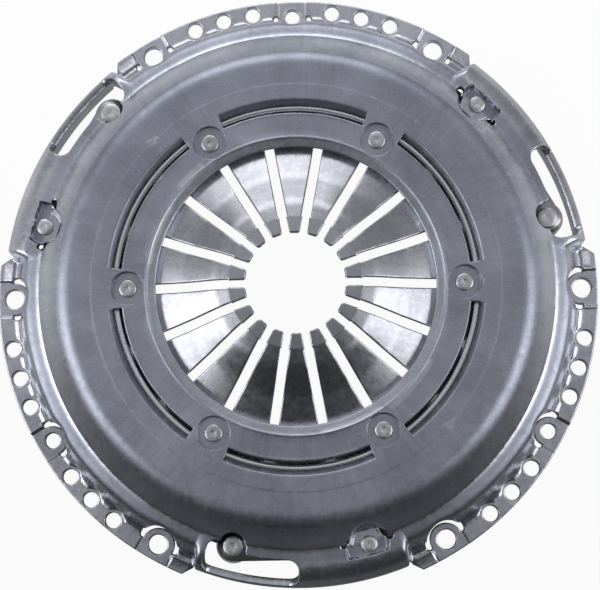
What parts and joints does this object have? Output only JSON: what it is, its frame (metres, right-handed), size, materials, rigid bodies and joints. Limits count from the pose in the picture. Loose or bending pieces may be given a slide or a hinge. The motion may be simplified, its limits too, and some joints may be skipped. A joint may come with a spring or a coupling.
{
  "type": "clutch pressure plate",
  "caption": "Clutch pressure plate: pressed steel cover with segmented drilled flange, slotted diaphragm spring, wire fulcrum rings, leaf straps and a cast iron plate.",
  "frame": {"origin": "centre of the flange's mounting face, on the crankshaft's axis", "axes": "+Z along the crankshaft's axis from the flywheel towards the gearbox; +Y through the middle of the first flange segment's dowel hole; +X through one of the bolt holes"},
  "size_m": [0.2828, 0.2788, 0.049],
  "materials": {
    "cover_steel": "satin, lightly oiled pressing",
    "plate_iron": "cast top, ground friction face",
    "spring_steel": "shot-peened, dark satin",
    "wire_steel": "drawn wire, bright",
    "pin_steel": "plain, upset ends",
    "strap_steel": "rolled spring strip",
    "rivet_steel": "plain, formed heads"
  },
  "bodies": {
    "cover": {"clutch_cover": "cover_steel", "diaphragm_spring": "spring_steel", "upper_fulcrum_ring": "wire_steel", "lower_fulcrum_ring": "wire_steel", "fulcrum_pins": "pin_steel", "strap_1_leaf_1": "strap_steel", "strap_1_leaf_2": "strap_steel", "strap_1_leaf_3": "strap_steel", "strap_2_leaf_1": "strap_steel", "strap_2_leaf_2": "strap_steel", "strap_2_leaf_3": "strap_steel", "strap_3_leaf_1": "strap_steel", "strap_3_leaf_2": "strap_steel", "strap_3_leaf_3": "strap_steel", "strap_1_cover_rivet": "rivet_steel", "strap_2_cover_rivet": "rivet_steel", "strap_3_cover_rivet": "rivet_steel"},
    "plate": {"pressure_plate": "plate_iron", "strap_1_plate_rivet": "rivet_steel", "strap_2_plate_rivet": "rivet_steel", "strap_3_plate_rivet": "rivet_steel"}
  },
  "joints": [
    {"name": "plate_slide", "type": "slide", "parent": "cover", "child": "plate", "axis": [0, 0, 1], "range_m": [0, 0.0055], "stiffness_N_per_m": 20000, "deforming": ["diaphragm_spring", "strap_1_leaf_1", "strap_1_leaf_2", "strap_1_leaf_3", "strap_2_leaf_1", "strap_2_leaf_2", "strap_2_leaf_3", "strap_3_leaf_1", "strap_3_leaf_2", "strap_3_leaf_3"]}
  ]
}
